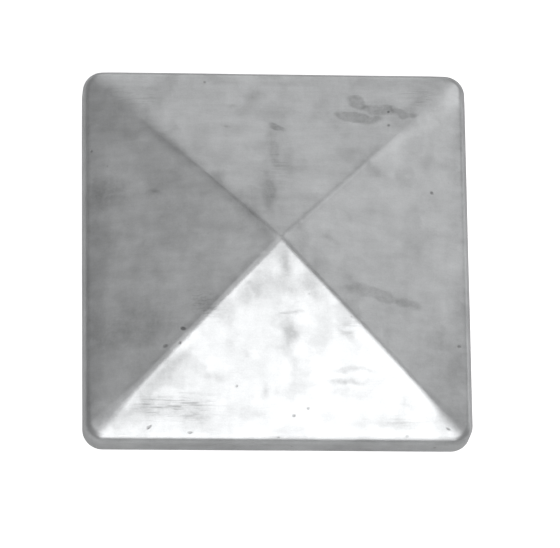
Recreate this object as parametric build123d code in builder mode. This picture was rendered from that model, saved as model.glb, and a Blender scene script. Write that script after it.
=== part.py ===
"""Push-in pyramid cap for a square steel fence post.

The cap is a pressed and galvanised steel shell. A shouldered stud is welded under its peak,
and a lock nut holds two crossed spring straps on the stud. The straps' four legs go down
inside the post and grip its walls, the skirt covers the post's end, and a rubber seal lies
between the post's end and the shell.

Millimetres, +Z up. The origin is the middle of the skirt's mouth, where the post goes in.
"""

from build123d import *

import os
from math import atan, cos, sqrt, tan

# The square hollow post that the cap fits.
POST_WIDTH = 100.0
POST_WALL = 3.0
POST_CLEARANCE = 0.5  # each side, between the post and the skirt

# The pressed shell.
SHEET = 2.0
CORNER_RADIUS = 3.5  # the skirt's upright corners, inside
BEND_RADIUS = 1.0  # the bend from a sloping face to the skirt, inside
RIDGE_RADIUS = 2.5  # the four ridges, inside
SKIRT_HEIGHT = 9.0  # mouth to the sharp line where face and skirt would meet
PEAK_HEIGHT = 25.4  # mouth to the sharp point where the four faces would meet
MOUTH_EDGE_RADIUS = 0.4

# The rubber seal, in the corner between the faces and the skirt.
SEAT_HEIGHT = 6.0  # the seal's flat underside, which lies on the post's end
SEAL_CLEARANCE = 0.2  # between the seal and the skirt
SEAL_INNER_CORNER = 1.5

# The two spring straps.
STRAP_THICKNESS = 1.0
STRAP_WIDTH = 18.0
STRAP_CROSSING_CLEARANCE = 1.5  # from one strap's edge to the other strap's first bend
STRAP_HEADROOM = 2.6  # between a sloping arm and the shell, measured upright
STRAP_BEND_RADIUS = 2.0  # inside
LEG_INSET = 0.8  # the leg's top stands this far inside the post's inner wall
LEG_BITE = 1.2  # the relaxed knee stands this far outside the post's inner wall
LEG_REACH = 12.0  # the legs go this far below the mouth
KNEE_DEPTH = 7.0  # the knee, below the mouth
TOE_INSET = 2.8  # the leg's end stands this far inside the post's inner wall
TOE_CORNER_RADIUS = 4.0
BARB_WIDTH = 6.0
BARB_LENGTH = 5.5
BARB_RISE = 0.9  # how far the barb's free end stands out of the leg
BARB_SLIT = 0.5

# The welded stud, with an M6 thread.
THREAD_DIAMETER = 5.9
THREAD_PITCH = 1.0
THREAD_DEPTH = 0.55
THREAD_CREST = 0.2  # width of the flat on each turn
THREAD_RUNOUT = 0.6  # plain length under the collar
THREAD_BEYOND_NUT = 2.0
STUD_HOLE_CLEARANCE = 0.25  # each side, in the straps and the washer
COLLAR_DIAMETER = 12.0
WELD_FLARE = 1.5  # how far the weld spreads beyond the collar

# The washer.
WASHER_DIAMETER = 12.0
WASHER_THICKNESS = 1.6
WASHER_CHAMFER = 0.3

# The lock nut and its nylon ring.
NUT_ACROSS_FLATS = 10.0
NUT_HEX_HEIGHT = 4.6
NUT_CROWN_HEIGHT = 1.4
NUT_CORNER_SLOPE = 0.5  # the cone that rounds the hexagon's corners, rise per mm
NUT_RUNNING_CLEARANCE = 0.06  # each side, between the bore and the thread's crest
RING_WALL = 1.0
RING_HEIGHT = 1.2
RING_LIP_HEIGHT = 0.4
RING_LIP_WIDTH = 0.4
CROWN_WALL = 0.5

# Worked out from the sizes above.
socket_half = POST_WIDTH / 2 + POST_CLEARANCE
cap_half = socket_half + SHEET
post_bore_half = POST_WIDTH / 2 - POST_WALL
slope = atan((PEAK_HEIGHT - SKIRT_HEIGHT) / cap_half)
inner_peak = PEAK_HEIGHT - SHEET / cos(slope)
inner_skirt = inner_peak - socket_half * tan(slope)
strap_flat_half = STRAP_WIDTH / 2 + STRAP_CROSSING_CLEARANCE
upper_strap_top = inner_peak - STRAP_HEADROOM - strap_flat_half * tan(slope)
lower_strap_top = upper_strap_top - STRAP_THICKNESS
washer_top = lower_strap_top - STRAP_THICKNESS
nut_top = washer_top - WASHER_THICKNESS
crown_top = nut_top - NUT_HEX_HEIGHT
nut_bottom = crown_top - NUT_CROWN_HEIGHT
ring_bottom = nut_bottom + RING_LIP_HEIGHT
thread_end = nut_bottom - THREAD_BEYOND_NUT
thread_radius = THREAD_DIAMETER / 2
stud_hole_radius = thread_radius + STUD_HOLE_CLEARANCE
nut_bore_radius = thread_radius + NUT_RUNNING_CLEARANCE
ring_radius = nut_bore_radius + RING_WALL


def pyramid_block(half, corner_radius, skirt_height, peak_height, bend_radius, ridge_radius):
    """A solid pyramid on a square skirt, with soft ridges, a soft rim and round corners."""
    gable = [
        (-half, 0),
        (half, 0),
        (half, skirt_height),
        (0, peak_height),
        (-half, skirt_height),
    ]
    with BuildPart() as block:
        with BuildSketch():
            RectangleRounded(2 * half, 2 * half, corner_radius)
        extrude(amount=peak_height)
        for upright_plane in (Plane.XZ, Plane.YZ):
            with BuildSketch(upright_plane):
                Polygon(*gable, align=None)
            extrude(amount=half, both=True, mode=Mode.INTERSECT)
        peak = block.vertices().sort_by(Axis.Z)[-1]
        fillet(block.edges().filter_by(lambda edge: peak in edge.vertices()), ridge_radius)
        corner_drop = corner_radius * tan(slope)
        rim = block.edges().filter_by(
            lambda edge: 0 < edge.center().Z < skirt_height + corner_drop
            and edge.bounding_box().size.Z < corner_drop
        )
        fillet(rim, bend_radius)
    return block.part


def spring_strap(top, plane):
    """A bent strip of spring steel whose two barbed legs lie in the given upright plane."""
    leg_x = post_bore_half - LEG_INSET
    leg_top = top - (leg_x - strap_flat_half) * tan(slope)
    knee_x = post_bore_half + LEG_BITE
    lean = (knee_x - leg_x) / (leg_top + KNEE_DEPTH)  # outwards, per mm down
    barb_foot = STRAP_THICKNESS - KNEE_DEPTH
    barb_head = barb_foot + BARB_LENGTH
    foot_x = leg_x + (leg_top - barb_foot) * lean
    head_x = leg_x + (leg_top - barb_head) * lean

    with BuildPart() as strap:
        with BuildSketch(plane):
            with BuildLine():
                FilletPolyline(
                    (0, top),
                    (strap_flat_half, top),
                    (leg_x, leg_top),
                    (knee_x, -KNEE_DEPTH),
                    (post_bore_half - TOE_INSET, -LEG_REACH),
                    radius=STRAP_BEND_RADIUS + STRAP_THICKNESS,
                )
                offset(amount=STRAP_THICKNESS, side=Side.RIGHT)
            make_face()
        extrude(amount=STRAP_WIDTH / 2, both=True)
        toe = strap.faces().sort_by(Axis.Z)[0]
        fillet(toe.edges().sort_by(SortBy.LENGTH)[:2], TOE_CORNER_RADIUS)
        with BuildSketch(plane):
            Polygon(
                (foot_x - 2 * STRAP_THICKNESS, barb_foot),
                (foot_x + STRAP_THICKNESS, barb_foot),
                (head_x + STRAP_THICKNESS, barb_head + BARB_SLIT),
                (head_x - 2 * STRAP_THICKNESS, barb_head + BARB_SLIT),
                align=None,
            )
        extrude(amount=BARB_WIDTH / 2 + BARB_SLIT, both=True, mode=Mode.SUBTRACT)
        with BuildSketch(plane):
            Polygon(
                (foot_x - STRAP_THICKNESS, barb_foot),
                (foot_x, barb_foot),
                (head_x + BARB_RISE, barb_head),
                (head_x + BARB_RISE - STRAP_THICKNESS, barb_head),
                align=None,
            )
        extrude(amount=BARB_WIDTH / 2, both=True)
        mirror(about=Plane(origin=(0, 0, 0), z_dir=plane.x_dir))
        with Locations((0, 0, top)):
            Hole(stud_hole_radius, depth=2 * STRAP_THICKNESS)
    return strap


# The shell is one block less a smaller one, so that its wall is even.
hollow = pyramid_block(
    socket_half, CORNER_RADIUS, inner_skirt, inner_peak, BEND_RADIUS, RIDGE_RADIUS
)
with BuildPart() as cap_shell:
    add(
        pyramid_block(
            cap_half,
            CORNER_RADIUS + SHEET,
            SKIRT_HEIGHT,
            PEAK_HEIGHT,
            BEND_RADIUS + SHEET,
            RIDGE_RADIUS + SHEET,
        )
    )
    add(hollow, mode=Mode.SUBTRACT)
    mouth = cap_shell.faces().sort_by(Axis.Z)[0]
    fillet(mouth.edges(), MOUTH_EDGE_RADIUS)

# The stud's collar and weld run up into the hollow under the peak and fill it.
collar_radius = COLLAR_DIAMETER / 2
weld_radius = collar_radius + WELD_FLARE
weld_edge = inner_peak - weld_radius * tan(slope)  # where the weld meets a sloping face
thread_top = upper_strap_top - THREAD_RUNOUT
thread_turns = int((thread_top - thread_end) / THREAD_PITCH)
thread_root = thread_radius - THREAD_DEPTH
stud_outline = [(0, thread_end)]
for turn in range(thread_turns):
    turn_bottom = thread_end + turn * THREAD_PITCH
    turn_middle = turn_bottom + THREAD_PITCH / 2
    stud_outline += [
        (thread_root, turn_bottom),
        (thread_radius, turn_middle - THREAD_CREST / 2),
        (thread_radius, turn_middle + THREAD_CREST / 2),
    ]
stud_outline += [
    (thread_root, thread_end + thread_turns * THREAD_PITCH),
    (thread_root, upper_strap_top),
    (collar_radius, upper_strap_top),
    (collar_radius, weld_edge - WELD_FLARE),
    (weld_radius, weld_edge),
    (weld_radius, PEAK_HEIGHT),
    (0, PEAK_HEIGHT),
]
with BuildPart() as weld_stud:
    with BuildSketch(Plane.XZ):
        Polygon(*stud_outline, align=None)
    revolve(axis=Axis.Z)
    add(hollow, mode=Mode.INTERSECT)

spring_strap_across = spring_strap(upper_strap_top, Plane.XZ)
spring_strap_along = spring_strap(lower_strap_top, Plane.YZ)

with BuildPart() as clamp_washer:
    with BuildSketch(Plane.XY.offset(washer_top - WASHER_THICKNESS)):
        Circle(WASHER_DIAMETER / 2)
        Circle(stud_hole_radius, mode=Mode.SUBTRACT)
    extrude(amount=WASHER_THICKNESS)
    washer_rim = clamp_washer.edges().group_by(Axis.Z)[0].sort_by(SortBy.RADIUS)[-1]
    chamfer(washer_rim, WASHER_CHAMFER)

# A double cone takes the hexagon's sharp corners off, and the crown holds the nylon ring.
hex_corner_radius = NUT_ACROSS_FLATS / sqrt(3)
corner_drop = (hex_corner_radius - NUT_ACROSS_FLATS / 2) * NUT_CORNER_SLOPE
with BuildPart() as lock_nut:
    with BuildSketch(Plane.XY.offset(crown_top)):
        RegularPolygon(NUT_ACROSS_FLATS / 2, side_count=6, major_radius=False)
    extrude(amount=NUT_HEX_HEIGHT)
    with BuildSketch(Plane.XZ):
        Polygon(
            (0, crown_top),
            (NUT_ACROSS_FLATS / 2, crown_top),
            (hex_corner_radius, crown_top + corner_drop),
            (hex_corner_radius, nut_top - corner_drop),
            (NUT_ACROSS_FLATS / 2, nut_top),
            (0, nut_top),
            align=None,
        )
    revolve(axis=Axis.Z, mode=Mode.INTERSECT)
    with BuildSketch(Plane.XY.offset(nut_bottom)):
        Circle(ring_radius + CROWN_WALL)
    extrude(amount=NUT_CROWN_HEIGHT)
    crown_edge = lock_nut.edges().group_by(Axis.Z)[0]
    fillet(crown_edge, RING_LIP_HEIGHT)
    with BuildSketch(Plane.XY.offset(nut_bottom)):
        Circle(ring_radius - RING_LIP_WIDTH)
    extrude(amount=RING_LIP_HEIGHT, mode=Mode.SUBTRACT)
    with BuildSketch(Plane.XY.offset(ring_bottom)):
        Circle(ring_radius)
    extrude(amount=RING_HEIGHT, mode=Mode.SUBTRACT)
    with BuildSketch(Plane.XY.offset(nut_bottom)):
        Circle(nut_bore_radius)
    extrude(amount=nut_top - nut_bottom, mode=Mode.SUBTRACT)

with BuildPart() as nut_nylon_ring:
    with BuildSketch(Plane.XY.offset(ring_bottom)):
        Circle(ring_radius)
        Circle(nut_bore_radius, mode=Mode.SUBTRACT)
    extrude(amount=RING_HEIGHT)

# The seal's upper side follows the shell, and its opening follows the post's bore.
seal_outer_half = socket_half - SEAL_CLEARANCE
with BuildPart() as post_seal:
    with BuildSketch(Plane.XY.offset(SEAT_HEIGHT)):
        RectangleRounded(
            2 * seal_outer_half,
            2 * seal_outer_half,
            CORNER_RADIUS - SEAL_CLEARANCE,
        )
        RectangleRounded(
            2 * post_bore_half, 2 * post_bore_half, SEAL_INNER_CORNER, mode=Mode.SUBTRACT
        )
    extrude(amount=PEAK_HEIGHT - SEAT_HEIGHT)
    add(hollow, mode=Mode.INTERSECT)

pieces = {
    "cap_shell": cap_shell,
    "weld_stud": weld_stud,
    "spring_strap_across": spring_strap_across,
    "spring_strap_along": spring_strap_along,
    "clamp_washer": clamp_washer,
    "lock_nut": lock_nut,
    "nut_nylon_ring": nut_nylon_ring,
    "post_seal": post_seal,
}
os.makedirs("parts", exist_ok=True)
for name, piece in pieces.items():
    piece.part.label = name
    export_step(piece.part, f"parts/{name}.step")
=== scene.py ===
"""Looks of the push-in pyramid post cap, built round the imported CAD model."""

import math

import bpy
import numpy as np
from mathutils import Matrix, Vector, noise


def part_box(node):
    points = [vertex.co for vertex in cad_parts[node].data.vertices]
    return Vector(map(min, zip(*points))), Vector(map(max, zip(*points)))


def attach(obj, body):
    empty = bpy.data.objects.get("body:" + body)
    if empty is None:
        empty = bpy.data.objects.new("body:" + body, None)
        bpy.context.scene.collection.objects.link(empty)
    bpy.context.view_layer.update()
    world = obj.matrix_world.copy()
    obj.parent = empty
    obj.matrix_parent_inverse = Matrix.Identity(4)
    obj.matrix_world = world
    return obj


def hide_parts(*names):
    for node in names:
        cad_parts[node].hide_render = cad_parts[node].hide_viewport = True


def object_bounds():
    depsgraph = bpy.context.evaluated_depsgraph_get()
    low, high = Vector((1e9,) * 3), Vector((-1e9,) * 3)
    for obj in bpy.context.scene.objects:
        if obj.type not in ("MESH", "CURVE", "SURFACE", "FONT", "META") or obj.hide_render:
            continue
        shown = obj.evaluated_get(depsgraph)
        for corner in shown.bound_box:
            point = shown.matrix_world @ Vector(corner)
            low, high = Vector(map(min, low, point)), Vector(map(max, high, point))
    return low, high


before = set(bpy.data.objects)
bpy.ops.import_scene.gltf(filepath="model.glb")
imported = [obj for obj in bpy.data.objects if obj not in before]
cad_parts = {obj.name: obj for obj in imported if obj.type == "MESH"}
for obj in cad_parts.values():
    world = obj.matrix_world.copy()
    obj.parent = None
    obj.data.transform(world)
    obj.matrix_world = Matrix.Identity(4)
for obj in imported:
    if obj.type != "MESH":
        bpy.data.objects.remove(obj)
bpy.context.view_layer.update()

MM = 0.001

# The camera stands where the photographer stood: high over the front, turned a little left.
CAMERA_AZIMUTH = -14.8
CAMERA_ELEVATION = 72.6
CAMERA_ROLL = 14.7
CAMERA_DISTANCE = 1.3
CAMERA_LENS = 308.9
CAMERA_SENSOR = 36.0
AIM_HEIGHT = 10.5 * MM
AIM_RIGHT = 0.73 * MM
AIM_UP = -5.54 * MM

# The sheet's sizes, which follow the CAD shell.
shell_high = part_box("cap_shell")[1]
SHEET = 2.0 * MM
MOUTH_EDGE_RADIUS = 0.4 * MM
outer_half = shell_high.x
inner_half = outer_half - SHEET
OUTER_CORNER = 5.5 * MM
OUTER_BEND = 3.0 * MM
OUTER_RIDGE = 4.5 * MM
SKIRT_HEIGHT = 9.0 * MM
PEAK_HEIGHT = 25.4 * MM
roof_rise = (PEAK_HEIGHT - SKIRT_HEIGHT) / outer_half  # height per distance from the edge
inner_peak = PEAK_HEIGHT - SHEET * math.hypot(1, roof_rise)

# What pressing and dipping do to the sheet, too small for the CAD.
RIDGE_BEAD = 0.08 * MM  # the ridges stand a little proud where the sheet was folded
RIDGE_BEAD_WIDTH = 1.2 * MM
RIDGE_BEAD_START = (3 * MM, 10 * MM)  # where it rises, going out from the peak
RIDGE_BEAD_END = (30 * MM, 44 * MM)  # and where it fades away
BACK_BEAD_LOSS = 0.7  # the share of it that the two back ridges lack
FRONT_SOFTENING = 1.6  # how much rounder the ridges become towards the front corners
FRONT_SOFTENING_SPAN = (36 * MM, 50 * MM)
BACK_SOFTENING = 4.5  # and towards the back corners, which were pressed less sharply
BACK_SOFTENING_SPAN = (22 * MM, 42 * MM)
MIDDLE_BLEND = 2 * MM  # each side of the middle, where front passes into back
RIM_ROLL = 0.40 * MM  # how far the sheet rolls down towards its rim, but not at the front
RIM_ROLL_WIDTH = 7.0 * MM
SHEET_WAVE = 0.09 * MM  # the flats' shallow waves
SHEET_WAVE_LENGTH = 24 * MM

# Where the zinc looks different: painted shade along the ridges, and a changed tone at the rim and the
# mouth.
RIDGE_SHADE_START = (1 * MM, 5 * MM)  # where a ridge's painted shade sets in, going out from the peak
RIDGE_SHADE_END = (26 * MM, 42 * MM)  # and where it fades away
# how far the wider band of painted shade reaches each side of a ridge
PAINTED_BAND_WIDTH = 4.5 * MM
RIM_FADE = (0.8 * MM, 2.6 * MM)  # distances from the rim's line
MOUTH_FADE = (0.3 * MM, 1.1 * MM)  # heights over the mouth
ROOF_MARGIN = 2 * MM  # how far below the faces' lower edge the roof's marks may reach

# How finely the shell is divided.
SIDE_POINTS = 141
SIDE_CROWDING = 0.35  # how much a side's points crowd towards the corners
CORNER_POINTS = 21
OUTER_STEPS = (130, 14, 10)  # loops over the roof, round the bend and down the skirt
INNER_STEPS = (30, 6, 6)
EDGE_STEPS = 4

# The stud, which follows the CAD stud.
stud_low, stud_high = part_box("weld_stud")
STUD_RADIUS = 2.95 * MM
THREAD_PITCH = 1.0 * MM
THREAD_DEPTH = 0.55 * MM
THREAD_CREST = 0.2 * MM
THREAD_RUNOUT = 1.2 * MM
TIP_CHAMFER = 0.6 * MM
COLLAR_RADIUS = 6.0 * MM
COLLAR_EDGE = 0.25 * MM
weld_radius = stud_high.x
weld_flare = weld_radius - COLLAR_RADIUS
collar_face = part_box("spring_strap_across")[1].z
weld_foot = inner_peak - weld_radius * roof_rise - weld_flare
WELD_RIPPLE = 0.16 * MM  # how far each ripple of the bead swells out
WELD_BITE = 0.1 * MM  # how far the bead runs into the sheet
STUD_SIDES = 96
STEPS_PER_TURN = 12

# ---------------------------------------------------------------- mesh helpers


def mesh_object(name, points, faces, body):
    """A smooth mesh piece that rides on a CAD body."""
    mesh = bpy.data.meshes.new(name)
    mesh.from_pydata([tuple(p) for p in points], [], faces)
    mesh.validate()
    mesh.update()
    mesh.polygons.foreach_set("use_smooth", [True] * len(mesh.polygons))
    piece = bpy.data.objects.new(name, mesh)
    bpy.context.scene.collection.objects.link(piece)
    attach(piece, body)
    return piece


def set_attribute(piece, name, values):
    """Stores a number per point, for the piece's material to read."""
    piece.data.attributes.new(name, "FLOAT", "POINT").data.foreach_set("value", values)


def closed_loops(rows, first_tip, last_tip):
    """Points and faces of a closed skin through loops of points, with a tip at each end."""
    count = len(rows[0])
    points = np.concatenate(rows + [[first_tip, last_tip]])
    tip = len(rows) * count
    faces = []
    for i in range(count):
        j = (i + 1) % count
        faces.append((tip, i, j))
        for row in range(0, tip - count, count):
            faces.append((row + i, row + count + i, row + count + j, row + j))
        faces.append((tip + 1, tip - count + j, tip - count + i))
    return points, faces


def smooth_step(value, start, end):
    """0 before `start`, 1 after `end`, with a soft rise between."""
    share = np.clip((value - start) / (end - start), 0, 1)
    return share * share * (3 - 2 * share)


def soft_abs(value, width):
    """|value| with its sharp turn at 0 rounded over `width` each side."""
    size = np.abs(value)
    return np.where(size < width, (width + value * value / width) / 2, size)


def noise_at(points, wave_length, seed):
    """Smooth noise from -1 to 1 at each point."""
    shift = Vector((seed, 2.0 * seed, 3.0 * seed))
    return np.array([noise.noise(Vector(p) / wave_length + shift) for p in points])


# ---------------------------------------------------------------- marks on the shell

# Marks on the roof, in mm: middle, half length, half width, turn, softness and strength.
STAINS = (
    ((0.0, 34.4), 3.0, 1.7, -15, 0.4, 0.90),  # spot behind the peak
    ((-1.2, 27.0), 2.4, 7.0, 8, 0.9, 0.70),  # upright smudges below it
    ((-3.4, 14.5), 3.4, 11.0, 6, 0.9, 0.85),
    ((2.8, 23.0), 3.0, 8.0, 0, 1.0, 0.30),
    ((-12.8, 40.8), 1.9, 1.0, -10, 0.8, 0.60),
    ((-13.3, 34.6), 1.0, 0.9, 0, 0.8, 0.70),
    ((-7.0, 44.0), 4.5, 1.6, 5, 1.0, 0.35),
    ((22.2, 38.2), 7.4, 2.0, -7, 0.35, 0.72),  # two dried runs at the back right
    ((21.6, 43.2), 4.8, 1.8, -32, 0.35, 0.68),
    ((28.4, 40.2), 6.2, 1.9, -22, 0.35, 0.66),
    ((35.2, 39.3), 4.6, 1.3, -4, 0.35, 0.62),
    ((12.0, 40.0), 3.5, 5.0, 0, 1.0, 0.35),
    ((25.5, -13.4), 10.5, 2.2, -9, 0.45, 0.62),  # long smear on the right face
    ((35.0, -15.2), 4.2, 1.9, 12, 0.45, 0.50),
    ((44.0, -28.0), 9.0, 16.0, 0, 1.0, 0.45),
    ((13.5, 1.0), 4.4, 1.6, -8, 0.9, 0.45),
    ((27.0, 22.0), 3.4, 1.6, 20, 0.9, 0.40),
    ((48.0, 10.0), 4.0, 10.0, 0, 1.0, 0.20),
    ((-34.6, 16.3), 2.4, 1.8, 0, 0.9, 0.55),  # the left face
    ((-46.5, 17.0), 7.5, 7.0, 20, 0.8, 0.72),
    ((-48.0, 4.0), 6.0, 5.0, 0, 0.9, 0.50),
    ((-44.0, 38.0), 8.0, 9.0, 0, 1.0, 0.35),
    ((-40.0, -22.0), 19.0, 9.5, 12, 0.7, 0.42),
    ((-24.0, 3.0), 8.0, 2.6, -6, 1.0, 0.30),
    ((2.2, -25.5), 3.4, 6.5, 0, 1.0, 0.75),  # the front face
    ((3.0, -18.8), 5.6, 0.8, 0, 1.0, 0.70),
    ((17.5, -36.6), 8.0, 1.0, 4, 1.0, 0.90),
    ((19.5, -34.2), 7.4, 0.8, 2, 1.0, 0.65),
    ((-17.5, -35.6), 5.0, 2.6, 0, 1.0, 0.60),
    ((-3.5, -39.5), 1.6, 4.0, 0, 1.0, 0.50),
    ((1.0, -8.0), 3.0, 6.5, 0, 1.0, 0.85),
    ((-8.5, -14.5), 6.0, 2.6, 45, 1.0, 0.60),
    ((9.5, -14.0), 6.0, 2.6, -45, 1.0, 0.60),
    ((-29.0, -33.5), 13.0, 2.6, 45, 1.0, 0.45),
    ((18.0, -24.5), 6.0, 2.0, -45, 1.0, 0.60),
    ((-30.0, -44.0), 17.0, 5.0, 0, 1.0, 0.55),
    ((30.0, -47.5), 15.0, 2.4, 0, 1.0, 0.40),
    ((12.0, -46.0), 6.0, 2.0, 0, 1.0, 0.25),
)
# Patches scuffed by handling, where fine scratches show, in the same terms.
SCUFFS = (
    ((-28.0, -44.0), 20.0, 6.0, 4, 1.0, 1.5),
    ((-20.0, -17.5), 5.0, 8.0, 45, 1.0, 1.1),
    ((19.0, -22.0), 5.0, 9.0, -45, 1.0, 0.7),
    ((34.0, -47.0), 14.0, 4.0, 0, 1.0, 0.6),
    ((40.0, 45.0), 8.0, 4.0, 0, 1.0, 1.2),
    ((-38.0, 44.0), 12.0, 6.0, 0, 1.0, 0.8),
    ((0.0, 22.0), 5.0, 14.0, 0, 1.0, 0.7),
)
# Small dark pits and nicks: middle, half length, half width, turn and strength.
PITS = (
    ((-26.1, -23.2), 1.2, 0.75, -30, 1.3),
    ((-30.8, -27.8), 0.9, 0.7, 0, 0.9),
    ((49.0, -25.7), 0.7, 0.6, 0, 0.9),
    ((-35.0, -48.6), 1.2, 0.45, 40, 0.9),
    ((-24.0, -50.0), 1.0, 0.4, 0, 0.8),
    ((45.6, -48.6), 1.0, 0.5, -30, 0.9),
)

# The noise that shakes the marks' outlines: how far, its wave length, and its seed's shift.
MARK_SHAKES = ((2.0 * MM, 7 * MM, 0.0), (0.9 * MM, 2.4 * MM, 3.0))


def marked(points, marks):
    """How strongly each point is marked, with the marks' outlines shaken by noise."""
    shaken = points[:, :2].copy()
    for axis, seed in ((0, 11.0), (1, 17.0)):
        for reach, wave_length, shift in MARK_SHAKES:
            shaken[:, axis] += reach * noise_at(points, wave_length, seed + shift)
    strength = np.zeros(len(points))
    for (x, y), half_length, half_width, turn, softness, weight in marks:
        angle = math.radians(turn)
        across, along = shaken[:, 0] - x * MM, shaken[:, 1] - y * MM
        first = (across * math.cos(angle) + along * math.sin(angle)) / (half_length * MM)
        second = (along * math.cos(angle) - across * math.sin(angle)) / (half_width * MM)
        strength += weight * (1 - smooth_step(np.hypot(first, second), 1 - softness, 1))
    return strength


# ---------------------------------------------------------------- the pressed shell


def ridge_offset(x, y):
    """How far a place is from the nearest ridge line, and how far out along it."""
    return np.abs(np.abs(x) - np.abs(y)) / math.sqrt(2), np.maximum(np.abs(x), np.abs(y))


class ShellSide:
    """One side of the sheet, outer or inner: a pyramid with soft ridges on a square skirt."""

    def __init__(self, half, corner, bend, ridge, peak, bead=0.0, roll=0.0):
        self.half, self.corner, self.bend = half, corner, bend
        self.peak, self.bead, self.roll = peak, bead, roll
        self.ridge_width = ridge * roof_rise / math.sqrt(2)
        self.tip_width = 0.8 * self.ridge_width

    def roof(self, x, y):
        """Height of the sloping faces."""
        offset, out = ridge_offset(x, y)
        front = 1 + FRONT_SOFTENING * smooth_step(out, *FRONT_SOFTENING_SPAN)
        back = 1 + BACK_SOFTENING * smooth_step(out, *BACK_SOFTENING_SPAN)
        behind = smooth_step(np.asarray(y), -MIDDLE_BLEND, MIDDLE_BLEND)
        softness = front + (back - front) * behind
        across, along = soft_abs(x, self.tip_width), soft_abs(y, self.tip_width)
        rounding = soft_abs(across - along, math.sqrt(2) * self.ridge_width * softness)
        fade = smooth_step(out, *RIDGE_BEAD_START) * (1 - smooth_step(out, *RIDGE_BEAD_END))
        fade = fade * (1 - BACK_BEAD_LOSS * behind)
        bead = self.bead * fade * np.exp(-((offset / RIDGE_BEAD_WIDTH) ** 2) / 2)
        off_front = smooth_step(y / np.maximum(out, MM), -1.0, -0.6)
        rolled = np.clip((out - self.half + RIM_ROLL_WIDTH) / RIM_ROLL_WIDTH, 0, 1) ** 2
        sag = self.roll * off_front * rolled
        return self.peak - roof_rise * (across + along + rounding) / 2 + bead - sag

    def rim(self, outline, normals):
        """Where the bend starts on the roof, its turn, and the height where it ends."""
        step = 0.05 * MM
        inset = np.full(len(outline), self.bend * 0.7)
        for _ in range(6):
            start = outline - normals * inset[:, None]
            before = self.roof(*(start - normals * step).T)
            after = self.roof(*(start + normals * step).T)
            tilt = np.arctan((before - after) / (2 * step))
            inset = self.bend * (1 - np.sin(tilt))
        start = outline - normals * inset[:, None]
        end_height = self.roof(*start.T) - self.bend * np.cos(tilt)
        return start, math.pi / 2 - tilt, end_height

    def outline(self):
        """The skirt's rounded square, with its normals, from the right side's front end."""
        flat = self.half - self.corner
        side = np.sin(np.linspace(-math.pi / 2, math.pi / 2, SIDE_POINTS)) * SIDE_CROWDING
        side = (side + np.linspace(-1, 1, SIDE_POINTS) * (1 - SIDE_CROWDING)) * flat
        turn = np.linspace(0, math.pi / 2, CORNER_POINTS + 2)[1:-1]
        arc_normals = np.stack([np.cos(turn), np.sin(turn)], 1)
        quarter = np.concatenate(
            [np.stack([np.full(SIDE_POINTS, self.half), side], 1), arc_normals * self.corner + flat]
        )
        quarter_normals = np.concatenate([np.tile([1.0, 0.0], (SIDE_POINTS, 1)), arc_normals])
        points, normals = [], []
        for angle in np.arange(4) * math.pi / 2:
            spin = np.array([[math.cos(angle), math.sin(angle)], [-math.sin(angle), math.cos(angle)]])
            points.append(quarter @ spin)
            normals.append(quarter_normals @ spin)
        return np.concatenate(points), np.concatenate(normals)

    def loops(self, roof_steps, bend_steps, skirt_steps):
        """Loops of points from near the peak outwards, round the bend and down to the mouth."""
        outline, normals = self.outline()
        start, turn, end_height = self.rim(outline, normals)
        rows = []
        for share in np.linspace(0, 1, roof_steps + 1)[1:]:
            flat_points = start * share
            rows.append(np.column_stack([flat_points, self.roof(*flat_points.T)]))
        for share in np.linspace(0, 1, bend_steps + 1)[1:]:
            lean = turn * (1 - share)
            out = outline - normals * (self.bend * (1 - np.cos(lean)))[:, None]
            rows.append(np.column_stack([out, end_height + self.bend * np.sin(lean)]))
        for share in np.linspace(0, 1, skirt_steps + 1)[1:]:
            drop = end_height + (MOUTH_EDGE_RADIUS - end_height) * share
            rows.append(np.column_stack([outline, drop]))
        return rows, outline, normals

    def tip(self):
        """The peak point."""
        middle = np.zeros(1)
        return [0.0, 0.0, self.roof(middle, middle)[0]]


def mouth_edge(outline, outward):
    """Loops round one quarter of the mouth's rounded edge, from the side down to the bottom."""
    rows = []
    for angle in np.linspace(0, math.pi / 2, EDGE_STEPS + 1)[1:]:
        inset = MOUTH_EDGE_RADIUS * (1 - math.cos(angle))
        level = np.full(len(outline), MOUTH_EDGE_RADIUS * (1 - math.sin(angle)))
        rows.append(np.column_stack([outline - outward * inset, level]))
    return rows


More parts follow.
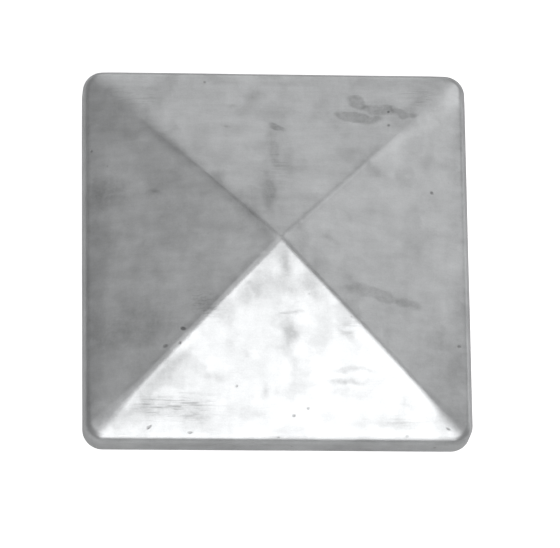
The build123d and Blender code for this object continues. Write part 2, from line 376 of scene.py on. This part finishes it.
def build_shell():
    """The whole sheet as one closed skin: outside, mouth edge and inside."""
    outer = ShellSide(
        outer_half, OUTER_CORNER, OUTER_BEND, OUTER_RIDGE, PEAK_HEIGHT, RIDGE_BEAD, RIM_ROLL
    )
    inner = ShellSide(
        inner_half, OUTER_CORNER - SHEET, OUTER_BEND - SHEET, OUTER_RIDGE - SHEET, inner_peak
    )
    outside, outline, normals = outer.loops(*OUTER_STEPS)
    inside, inner_outline, _ = inner.loops(*INNER_STEPS)
    edge = mouth_edge(outline, normals)
    inner_edge = mouth_edge(inner_outline, -normals)
    rows = outside + edge + inner_edge[::-1] + inside[::-1]
    points, faces = closed_loops(rows, outer.tip(), inner.tip())
    outer_count = (len(outside) + len(edge)) * len(outline)

    shell = mesh_object("pressed_shell", points, faces, "cap")
    side_normals = np.zeros(3 * len(points))
    shell.data.vertices.foreach_get("normal", side_normals)
    is_outer = np.zeros(len(points))
    is_outer[:outer_count] = 1
    is_outer[-2] = 1
    wave = SHEET_WAVE * is_outer * (0.5 + 0.5 * noise_at(points, SHEET_WAVE_LENGTH, 4.0))
    moved = points - side_normals.reshape(-1, 3) * wave[:, None]
    shell.data.vertices.foreach_set("co", moved.ravel())
    shell.data.update()

    offset, out = ridge_offset(points[:, 0], points[:, 1])
    on_roof = is_outer * (points[:, 2] > SKIRT_HEIGHT - ROOF_MARGIN)
    back, left = points[:, 1] > 0, points[:, 0] < 0
    # Painted shade along each ridge line: full on the back left ridge, half on the back right, a quarter
    # on the front two, and wider on the back left.
    ridge_shade_strength = np.where(back & left, 1.0, np.where(back, 0.5, 0.25))
    ridge_shade_width = np.where(back & left, 1.8, 1.3) * MM
    painted_ridge_shade = ridge_shade_strength * on_roof * np.exp(-((offset / ridge_shade_width) ** 2))
    painted_ridge_shade = painted_ridge_shade * smooth_step(out, *RIDGE_SHADE_START) * (1 - smooth_step(out, *RIDGE_SHADE_END))
    # A wider, fainter band of painted shade each side of every ridge.
    painted_band = on_roof * np.exp(-((offset / PAINTED_BAND_WIDTH) ** 2))
    rim_distance = np.abs(outer_half - out - 0.5 * OUTER_BEND)
    rim = on_roof * (1 - smooth_step(rim_distance, *RIM_FADE))
    mouth = 1 - smooth_step(points[:, 2], *MOUTH_FADE)
    set_attribute(shell, "ridge_painted_shade", painted_ridge_shade)
    set_attribute(shell, "ridge_painted_band", painted_band)
    set_attribute(shell, "rim", np.maximum(rim, mouth))
    set_attribute(shell, "inside", 1 - is_outer)
    set_attribute(shell, "stain", on_roof * marked(points, STAINS))
    set_attribute(shell, "scuff", on_roof * marked(points, SCUFFS))
    return shell


# ---------------------------------------------------------------- the welded stud


def thread_radius(height, angle):
    """Radius of the rolled thread at a height above the stud's tip."""
    phase = (height / THREAD_PITCH - angle / (2 * math.pi)) % 1
    from_crest = np.abs(phase - 0.5) * THREAD_PITCH - THREAD_CREST / 2
    flank = (THREAD_PITCH - THREAD_CREST) / 2
    cut = THREAD_DEPTH * smooth_step(np.clip(from_crest / flank, 0, 1), -0.25, 1.2)
    return STUD_RADIUS - cut


def build_stud():
    """The threaded stud, its collar, and the weld bead that holds it under the peak."""
    angle = np.linspace(0, 2 * math.pi, STUD_SIDES, endpoint=False)
    across, along = np.cos(angle), np.sin(angle)

    def ring(radius, height):
        """A loop of points round the stud's axis."""
        return np.column_stack([across * radius, along * radius, height + 0 * angle])

    length = collar_face - stud_low.z
    root = STUD_RADIUS - THREAD_DEPTH
    rows = []
    for height in np.linspace(0, length, int(STEPS_PER_TURN * length / THREAD_PITCH)):
        runout = smooth_step(length - height, 0.2 * MM, THREAD_RUNOUT)
        radius = root + (thread_radius(height, angle) - root) * runout
        rows.append(ring(np.minimum(radius, STUD_RADIUS - TIP_CHAMFER + height), stud_low.z + height))
    for share in np.linspace(0, 1, 6)[1:]:
        rows.append(ring(root + (COLLAR_RADIUS - COLLAR_EDGE - root) * share, collar_face))
    for turn in np.linspace(0, math.pi / 2, 5)[1:]:
        radius = COLLAR_RADIUS - COLLAR_EDGE * (1 - math.sin(turn))
        rows.append(ring(radius, collar_face + COLLAR_EDGE * (1 - math.cos(turn))))
    rows.append(ring(COLLAR_RADIUS, weld_foot - 0.4 * MM))

    # The bead swells out in overlapping ripples, and its upper edge lies on the sheet.
    ripple = 0.5 + 0.5 * np.abs(np.sin(17 * angle / 2 + 0.6 * np.sin(3 * angle)))
    uneven = 0.85 + 0.15 * np.sin(2 * angle + 1.0) * np.sin(5 * angle)
    reach = weld_flare * uneven
    farthest = np.maximum(np.abs(across), np.abs(along))
    for share in np.linspace(0, 1, 11):
        swell = math.sin(share * math.pi / 2)
        bulge = WELD_RIPPLE * ripple * math.sin(share * math.pi)
        radius = COLLAR_RADIUS + (reach - WELD_RIPPLE) * swell + bulge
        top = inner_peak - roof_rise * farthest * radius + WELD_BITE
        foot = weld_foot + 0.3 * MM * (1 - uneven)
        rows.append(ring(radius, foot + (top - foot) * (1 - math.cos(share * math.pi / 2))))
    for share in np.linspace(1, 0, 6)[1:-1]:
        inward = (COLLAR_RADIUS + reach) * share
        rows.append(ring(inward, inner_peak - roof_rise * farthest * inward - WELD_BITE))
    points, faces = closed_loops(rows[::-1], [0, 0, inner_peak - 0.5 * MM], [0, 0, stud_low.z])
    stud = mesh_object("threaded_stud", points, faces, "cap")
    radius = np.hypot(points[:, 0], points[:, 1])
    set_attribute(stud, "weld", smooth_step(points[:, 2], weld_foot - 0.5 * MM, weld_foot + 0.2 * MM))
    set_attribute(stud, "crest", smooth_step(radius, root + 0.3 * MM, STUD_RADIUS))
    return stud


# ---------------------------------------------------------------- materials

# How pale each metal is before its marks and tints.
ZINC_LEVEL = 0.60
SPRING_LEVEL = 0.36
PLATE_LEVEL = 0.62
STUD_LEVEL = 0.50


class Finish:
    """A node material in the making, with short names for the nodes it needs."""

    def __init__(self, name):
        self.material = bpy.data.materials.new(name)
        self.material.use_nodes = True
        self.tree = self.material.node_tree
        self.shader = self.tree.nodes["Principled BSDF"]
        self.place = self.node("ShaderNodeTexCoord").outputs["Object"]

    def node(self, kind, inputs=(), **settings):
        """A new node with its inputs linked or set."""
        node = self.tree.nodes.new(kind)
        for key, value in settings.items():
            setattr(node, key, value)
        for key, value in dict(inputs).items():
            if isinstance(value, bpy.types.NodeSocket):
                self.tree.links.new(value, node.inputs[key])
            else:
                node.inputs[key].default_value = value
        return node

    def math(self, operation, *values, clamp=False):
        """The result of a Math node."""
        inputs = dict(enumerate(values))
        return self.node("ShaderNodeMath", inputs, operation=operation, use_clamp=clamp).outputs[0]

    def vector(self, operation, *values):
        """The vector that a Vector Math node gives."""
        return self.node("ShaderNodeVectorMath", dict(enumerate(values)), operation=operation).outputs[0]

    def noise(self, place, scale, detail, roughness=0.5):
        """Smooth noise of about 0.5, finer with each step of detail."""
        inputs = {"Vector": place, "Scale": scale, "Detail": detail, "Roughness": roughness}
        return self.node("ShaderNodeTexNoise", inputs).outputs["Fac"]

    def stretched(self, scale, place=None):
        """The place scaled differently along each axis, for noise drawn out one way."""
        inputs = {"Vector": place or self.place, "Scale": scale}
        return self.node("ShaderNodeMapping", inputs).outputs[0]

    def warped(self, scale, amount):
        """The place shaken by noise, so that outlines come out ragged."""
        inputs = {"Vector": self.place, "Scale": scale, "Detail": 3.0}
        shake = self.node("ShaderNodeTexNoise", inputs).outputs["Color"]
        centred = self.vector("SUBTRACT", shake, (0.5, 0.5, 0.5))
        return self.vector(
            "ADD", self.place, self.vector("MULTIPLY", centred, (2 * amount, 2 * amount, 2 * amount))
        )

    def span(self, value, start, end, low=0.0, high=1.0, smooth=True):
        """`low` before `start`, `high` after `end`."""
        inputs = {"Value": value, "From Min": start, "From Max": end, "To Min": low, "To Max": high}
        kind = "SMOOTHSTEP" if smooth else "LINEAR"
        return self.node("ShaderNodeMapRange", inputs, interpolation_type=kind).outputs["Result"]

    def attribute(self, name):
        """A number that the mesh stores at each point."""
        return self.node("ShaderNodeAttribute", attribute_name=name).outputs["Fac"]

    def spot(self, place, centre, half_length, half_width, turn):
        """1 inside a long spot on the roof, fading out at its edge."""
        inputs = {
            "Vector": place,
            "Location": (centre[0] * MM, centre[1] * MM, 0),
            "Rotation": (0, 0, math.radians(turn)),
            "Scale": (half_length * MM, half_width * MM, 1.0),
        }
        local = self.node("ShaderNodeMapping", inputs, vector_type="TEXTURE").outputs[0]
        reach = self.node("ShaderNodeVectorMath", {0: local}, operation="LENGTH").outputs["Value"]
        return self.span(reach, 1.0, 0.3)

    def centred(self, *terms):
        """(noise, weight) pairs with each noise moved from about 0.5 to about 0."""
        return [(self.math("SUBTRACT", value, 0.5), weight) for value, weight in terms]

    def total(self, terms):
        """The sum of (value, weight) pairs."""
        result = None
        for value, weight in terms:
            if result is None:
                result = self.math("MULTIPLY", value, weight)
            else:
                result = self.math("MULTIPLY_ADD", value, weight, result)
        return result

    def edges(self, radius):
        """1 on the piece's sharp edges, fading to 0 on its flats."""
        rounded = self.node("ShaderNodeBevel", {"Radius": radius}, samples=4).outputs[0]
        flat = self.node("ShaderNodeNewGeometry").outputs["Normal"]
        likeness = self.node("ShaderNodeVectorMath", {0: rounded, 1: flat}, operation="DOT_PRODUCT")
        return self.span(likeness.outputs["Value"], 0.995, 0.90)

    def level(self, shade, plain):
        """The plain level made paler or darker by the shade, which is 0 where it's plain."""
        return self.math("MULTIPLY", self.math("ADD", shade, 1.0), plain)

    def ramp(self, value, first, last, between=()):
        """A colour that goes from first to last with a value, through (position, colour) pairs."""
        node = self.node("ShaderNodeValToRGB", {"Fac": value})
        stops = node.color_ramp.elements
        stops[0].color = (*first, 1)
        stops[1].color = (*last, 1)
        for position, colour in between:
            stops.new(position).color = (*colour, 1)
        return node.outputs["Color"]

    def tinted(self, level, tint):
        """A colour: the tint scaled by the level."""
        return self.node("ShaderNodeVectorMath", {0: tint, "Scale": level}, operation="SCALE").outputs[0]

    def done(self, colour, roughness, height, depth, metallic=1.0):
        """Joins everything to the shader and gives the material."""
        self.tree.links.new(colour, self.shader.inputs["Base Color"])
        self.tree.links.new(roughness, self.shader.inputs["Roughness"])
        bump = self.node("ShaderNodeBump", {"Height": height, "Distance": depth}).outputs[0]
        self.tree.links.new(bump, self.shader.inputs["Normal"])
        if isinstance(metallic, float):
            self.shader.inputs["Metallic"].default_value = metallic
        else:
            self.tree.links.new(metallic, self.shader.inputs["Metallic"])
        return self.material


def galvanised():
    """Smooth hot-dip zinc: cloudy, with long faint smears, dull stains, small pits and painted shade
    along its ridges.
    """
    made = Finish("galvanised_zinc")
    normal = made.node("ShaderNodeNewGeometry").outputs["Normal"]
    facing = made.node("ShaderNodeSeparateXYZ", {0: normal}).outputs
    on_side = made.span(made.math("ABSOLUTE", facing["X"]), 0.6, 0.8)
    axes = made.node("ShaderNodeSeparateXYZ", {0: made.place}).outputs
    swapped = made.node("ShaderNodeCombineXYZ", {0: axes["Y"], 1: axes["X"], 2: axes["Z"]}).outputs[0]
    rolled = made.node("ShaderNodeMix", data_type="VECTOR")
    made.tree.links.new(on_side, rolled.inputs[0])
    made.tree.links.new(made.place, rolled.inputs[4])
    made.tree.links.new(swapped, rolled.inputs[5])
    rolled = rolled.outputs[1]

    cloud = made.noise(made.place, 34.0, 5.0, 0.6)
    bloom = made.noise(made.warped(120.0, 2.0 * MM), 95.0, 4.0, 0.55)
    patches = made.span(bloom, 0.50, 0.62)
    blotch = made.noise(made.warped(200.0, 1.5 * MM), 170.0, 5.0, 0.55)
    smear = made.noise(made.stretched((70.0, 340.0, 340.0), rolled), 1.0, 6.0, 0.62)
    scratch = made.noise(made.stretched((140.0, 1900.0, 1900.0), rolled), 1.0, 4.0, 0.6)
    wipe = made.noise(made.stretched((420.0, 80.0, 80.0)), 1.0, 5.0, 0.6)
    grain = made.noise(made.place, 2600.0, 3.0)
    inputs = {"Vector": made.place, "Scale": 260.0}
    cells = made.node("ShaderNodeTexVoronoi", inputs).outputs
    chosen = made.span(made.node("ShaderNodeSeparateColor", {0: cells["Color"]}).outputs[0], 0.93, 0.95)
    pit_shape = made.span(cells["Distance"], 0.16, 0.05)
    pits = made.math("MULTIPLY", chosen, pit_shape)

    fine = made.noise(made.place, 700.0, 4.0, 0.6)
    stain = made.math("MULTIPLY", made.attribute("stain"), made.span(fine, 0.36, 0.58, 0.75, 1.15))
    scuff = made.math("MULTIPLY", made.attribute("scuff"), made.span(scratch, 0.48, 0.60))
    ragged = made.warped(500.0, 0.5 * MM)
    nicks = made.total([(made.spot(ragged, *mark[:4]), mark[4]) for mark in PITS])
    nicks = made.math("MULTIPLY", nicks, made.span(facing["Z"], 0.3, 0.6))
    pits = made.math("ADD", pits, nicks)

    # Painted shade along the ridges, broken up by the cloud noise.
    broken = made.span(cloud, 0.3, 0.6, 0.5, 1.0)
    painted_ridge_shade = made.math("MULTIPLY", made.attribute("ridge_painted_shade"), broken)
    # A faint band of painted shade each side of the ridges, in patches.
    painted_band = made.math("MULTIPLY", made.attribute("ridge_painted_band"), made.span(bloom, 0.45, 0.60))
    rim = made.math("MULTIPLY", made.attribute("rim"), made.span(smear, 0.38, 0.60))
    inside = made.attribute("inside")

    layers = ((cloud, 0.66), (blotch, 0.34), (smear, 0.40), (wipe, 0.14), (scratch, 0.05), (grain, 0.20))
    shade = made.total(
        made.centred(*layers)
        + [(patches, -0.06), (stain, -0.32), (scuff, -0.17), (pits, -0.42)]
        + [(painted_ridge_shade, -0.22), (painted_band, -0.07), (rim, 0.03), (inside, -0.16)]
    )

    # The weld's heat tints the inside of the sheet round the collar, from straw to blue.
    flat = made.node("ShaderNodeCombineXYZ", {0: axes["X"], 1: axes["Y"]}).outputs[0]
    reach = made.node("ShaderNodeVectorMath", {0: flat}, operation="LENGTH").outputs["Value"]
    uneven = made.math("MULTIPLY_ADD", made.math("SUBTRACT", bloom, 0.5), 6 * MM, reach)
    heat = made.math("MULTIPLY", inside, made.span(uneven, 13 * MM, 8 * MM))
    straw_and_brown = ((0.35, (1.0, 0.90, 0.70)), (0.7, (0.72, 0.50, 0.42)))
    tint = made.ramp(heat, (0.985, 1.0, 1.012), (0.42, 0.50, 0.66), straw_and_brown)

    roughness = made.total(
        made.centred((smear, 0.12), (cloud, 0.10))
        + [(stain, 0.02), (scuff, 0.03), (rim, -0.02), (inside, 0.08), (patches, 0.02)]
    )
    roughness = made.math("ADD", roughness, 0.38, clamp=True)
    height = made.total(
        [(grain, 0.10), (scratch, 0.05), (smear, 0.20), (bloom, 0.70), (patches, 0.15)]
        + [(stain, -0.10), (pits, -1.6)]
    )
    colour = made.tinted(made.level(shade, ZINC_LEVEL), tint)
    return made.done(colour, roughness, height, 0.03 * MM, 0.92)


def spring_steel(name, along_x):
    """Hardened strip: dark, rolled along its length, bare on its edges, and brighter there with a
    painted highlight.
    """
    made = Finish(name)
    scale = (45.0, 1500.0, 45.0) if along_x else (1500.0, 45.0, 45.0)
    lines = made.noise(made.stretched(scale), 1.0, 5.0, 0.6)
    cloud = made.noise(made.place, 90.0, 5.0, 0.6)
    grain = made.noise(made.place, 3800.0, 3.0)
    # Rubbed edges: smoother, and made much paler by a painted highlight.
    edge = made.math("MULTIPLY", made.edges(0.45 * MM), made.span(cloud, 0.35, 0.6, 0.4, 1.0))
    shade = made.total(made.centred((lines, 0.40), (cloud, 0.55), (grain, 0.14)) + [(edge, 0.75)])
    tint = made.ramp(made.span(cloud, 0.35, 0.65), (1.04, 0.98, 0.90), (0.90, 0.98, 1.10))
    roughness = made.total([(lines, 0.16), (cloud, 0.14), (edge, -0.08)])
    roughness = made.math("ADD", roughness, 0.20, clamp=True)
    height = made.total([(lines, 1.0), (grain, 0.35)])
    colour = made.tinted(made.level(shade, SPRING_LEVEL), tint)
    return made.done(colour, roughness, height, 0.012 * MM)


def zinc_plate(name):
    """Bright passivated plating, a little yellow and blue in turns, rubbed on its edges and given a
    painted highlight there.
    """
    made = Finish(name)
    cloud = made.noise(made.place, 260.0, 5.0, 0.6)
    grain = made.noise(made.place, 5200.0, 3.0)
    # Rubbed edges: smoother, and made paler by a painted highlight.
    edge = made.edges(0.3 * MM)
    shade = made.total(made.centred((cloud, 0.45), (grain, 0.12)) + [(edge, 0.16)])
    tint = made.ramp(made.span(cloud, 0.32, 0.68), (1.05, 1.0, 0.86), (0.93, 0.99, 1.08))
    roughness = made.math("ADD", made.total([(cloud, 0.22), (edge, -0.06)]), 0.17, clamp=True)
    height = made.total([(grain, 0.6), (cloud, 0.8)])
    colour = made.tinted(made.level(shade, PLATE_LEVEL), tint)
    return made.done(colour, roughness, height, 0.01 * MM)


def stud_steel():
    """A bright stud with worn crests, and a darker weld with scale and tints of heat."""
    made = Finish("stud_steel")
    weld, crest = made.attribute("weld"), made.attribute("crest")
    cloud = made.noise(made.place, 300.0, 5.0, 0.6)
    grain = made.noise(made.place, 4200.0, 4.0)
    scale = made.span(made.noise(made.warped(900.0, 0.5 * MM), 750.0, 4.0, 0.6), 0.48, 0.58)
    scale = made.math("MULTIPLY", scale, weld)
    worn = made.math("MULTIPLY", crest, made.math("SUBTRACT", 1.0, weld))
    shade = made.total(
        made.centred((cloud, 0.5), (grain, 0.16))
        + [(worn, 0.22), (weld, -0.30), (scale, -0.30)]
    )
    heat = made.math("MULTIPLY", weld, cloud)
    tint = made.ramp(heat, (1.0, 1.0, 0.98), (0.62, 0.62, 0.78), ((0.5, (1.0, 0.80, 0.60)),))
    roughness = made.total([(cloud, 0.18), (weld, 0.16), (scale, 0.18), (worn, -0.06)])
    roughness = made.math("ADD", roughness, 0.22, clamp=True)
    height = made.total([(grain, 0.4), (scale, 1.0), (cloud, 0.8)])
    colour = made.tinted(made.level(shade, STUD_LEVEL), tint)
    return made.done(colour, roughness, height, 0.03 * MM)


def nylon():
    """Milky nylon, smooth with faint mould flow."""
    made = Finish("nylon_ring")
    cloud = made.noise(made.place, 420.0, 4.0, 0.55)
    grain = made.noise(made.place, 6000.0, 2.0)
    level = made.span(cloud, 0.3, 0.7, 0.56, 0.68, smooth=False)
    roughness = made.span(cloud, 0.3, 0.7, 0.36, 0.50)
    made.shader.inputs["Subsurface Weight"].default_value = 0.15
    made.shader.inputs["Subsurface Scale"].default_value = 0.5 * MM
    return made.done(made.tinted(level, (1.0, 0.985, 0.93)), roughness, grain, 0.01 * MM, 0.0)


def seal_rubber():
    """Black moulded rubber, dull, with a grey bloom, and edges made greyer by a painted highlight."""
    made = Finish("seal_rubber_black")
    bloom = made.noise(made.place, 110.0, 6.0, 0.65)
    grain = made.noise(made.place, 2400.0, 4.0, 0.6)
    # Edges made greyer by a painted highlight.
    edge = made.edges(0.6 * MM)
    shade = made.total([(made.span(bloom, 0.42, 0.66), 0.018), (grain, 0.008), (edge, 0.014)])
    level = made.math("ADD", shade, 0.016)
    roughness = made.span(bloom, 0.3, 0.7, 0.55, 0.82)
    height = made.total([(grain, 1.0), (bloom, 0.5)])
    return made.done(made.tinted(level, (1.0, 1.0, 1.02)), roughness, height, 0.04 * MM, 0.0)


# ---------------------------------------------------------------- the pieces

shell = build_shell()
shell.data.materials.append(galvanised())
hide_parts("cap_shell")

stud = build_stud()
stud.data.materials.append(stud_steel())
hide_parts("weld_stud")


BEVEL_STEPS = 2
SHARPEST_LEFT_ALONE = math.radians(35)


def finish_node(name, material, edge):
    """Gives a CAD node its material and breaks its sharp edges."""
    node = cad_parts[name]
    node.data.materials.clear()
    node.data.materials.append(material)
    bevel = node.modifiers.new("broken_edges", "BEVEL")
    bevel.width = edge
    bevel.segments = BEVEL_STEPS
    bevel.limit_method = "ANGLE"
    bevel.angle_limit = SHARPEST_LEFT_ALONE
    bevel.harden_normals = True


plate = zinc_plate("zinc_plated_steel")
finish_node("spring_strap_across", spring_steel("spring_steel_across", True), 0.12 * MM)
finish_node("spring_strap_along", spring_steel("spring_steel_along", False), 0.12 * MM)
finish_node("clamp_washer", plate, 0.10 * MM)
finish_node("lock_nut", plate, 0.08 * MM)
finish_node("nut_nylon_ring", nylon(), 0.08 * MM)
finish_node("post_seal", seal_rubber(), 0.25 * MM)


# ---------------------------------------------------------------- floor, lights and camera

WORLD_LEVEL = 0.25
FLOOR_HALF = 4.0
FLOOR_GAP = 0.05 * MM
FLOOR_LEVEL = 0.8
FLOOR_GLOW = 0.85  # the paper is lit through for the camera, so no shadow shows
# Each soft light: its name, azimuth and elevation in degrees, distance, width and power.
# Azimuth 0 is in front of the cap, and 90 at its right.
SOFTBOXES = (
    ("key_softbox", 15, 62, 0.5, 0.28, 0.64),
    ("front_softbox", 0, 35, 1.6, 0.7, 4.0),
    ("back_softbox", 180, 35, 1.6, 0.7, 1.08),
    ("low_back_softbox", 180, 5, 1.6, 0.7, 1.34),
    ("side_softbox", 120, 50, 1.6, 0.7, 0.7),
    ("low_side_softbox", 100, 5, 1.6, 0.7, 1.36),
    ("right_softbox", 135, 35, 0.5, 0.28, 0.192),
    ("left_softbox", 240, 72, 0.5, 0.28, 0.2),
)


def build_floor():
    """A pale floor, which the camera sees as white paper."""
    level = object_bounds()[0].z - FLOOR_GAP
    mesh = bpy.data.meshes.new("floor")
    signs = ((-1, -1), (1, -1), (1, 1), (-1, 1))
    corners = [(x * FLOOR_HALF, y * FLOOR_HALF, level) for x, y in signs]
    mesh.from_pydata(corners, [], [(0, 1, 2, 3)])
    floor = bpy.data.objects.new("floor", mesh)
    bpy.context.scene.collection.objects.link(floor)
    paper = Finish("floor_paper")
    seen = paper.node("ShaderNodeLightPath").outputs["Is Camera Ray"]
    glow = paper.math("MULTIPLY", seen, FLOOR_GLOW)
    paper.tree.links.new(glow, paper.shader.inputs["Emission Strength"])
    paper.shader.inputs["Emission Color"].default_value = (1, 1, 1, 1)
    paper.shader.inputs["Base Color"].default_value = (FLOOR_LEVEL, FLOOR_LEVEL, FLOOR_LEVEL, 1)
    paper.shader.inputs["Roughness"].default_value = 1.0
    paper.shader.inputs["Specular IOR Level"].default_value = 0.0
    mesh.materials.append(paper.material)


def toward(azimuth, elevation):
    """The unit direction from the cap to something, from angles in degrees."""
    turn, lift = math.radians(azimuth), math.radians(elevation)
    level = math.cos(lift)
    return Vector((math.sin(turn) * level, -math.cos(turn) * level, math.sin(lift)))


def softbox(name, azimuth, elevation, distance, width, power):
    """A square area light that faces the cap."""
    data = bpy.data.lights.new(name, "AREA")
    data.shape = "SQUARE"
    data.size = width
    data.energy = power
    light = bpy.data.objects.new(name, data)
    bpy.context.scene.collection.objects.link(light)
    direction = toward(azimuth, elevation)
    light.location = direction * distance
    light.rotation_euler = direction.to_track_quat("Z", "Y").to_euler()


def build_world(level):
    """An even grey surround."""
    world = bpy.data.worlds.new("studio")
    world.use_nodes = True
    world.node_tree.nodes["Background"].inputs["Color"].default_value = (level, level, level, 1)
    bpy.context.scene.world = world


def build_camera():
    """The camera, aimed a little off the cap's middle as in the photograph."""
    back = toward(CAMERA_AZIMUTH, CAMERA_ELEVATION)
    right = Vector((0, 0, 1)).cross(back).normalized()
    up = back.cross(right)
    roll = math.radians(CAMERA_ROLL)
    rolled_right = right * math.cos(roll) + up * math.sin(roll)
    rolled_up = up * math.cos(roll) - right * math.sin(roll)
    data = bpy.data.cameras.new("camera")
    data.lens = CAMERA_LENS
    data.sensor_width = CAMERA_SENSOR
    data.clip_start, data.clip_end = 0.01, 20.0
    camera = bpy.data.objects.new("camera", data)
    bpy.context.scene.collection.objects.link(camera)
    aim = Vector((0, 0, AIM_HEIGHT)) + rolled_right * AIM_RIGHT + rolled_up * AIM_UP
    rotation = Matrix((rolled_right, rolled_up, back)).transposed()
    camera.matrix_world = Matrix.Translation(aim + back * CAMERA_DISTANCE) @ rotation.to_4x4()
    bpy.context.scene.camera = camera


build_floor()
build_world(WORLD_LEVEL)
for light in SOFTBOXES:
    softbox(*light)
build_camera()
bpy.context.scene.view_settings.view_transform = "Standard"
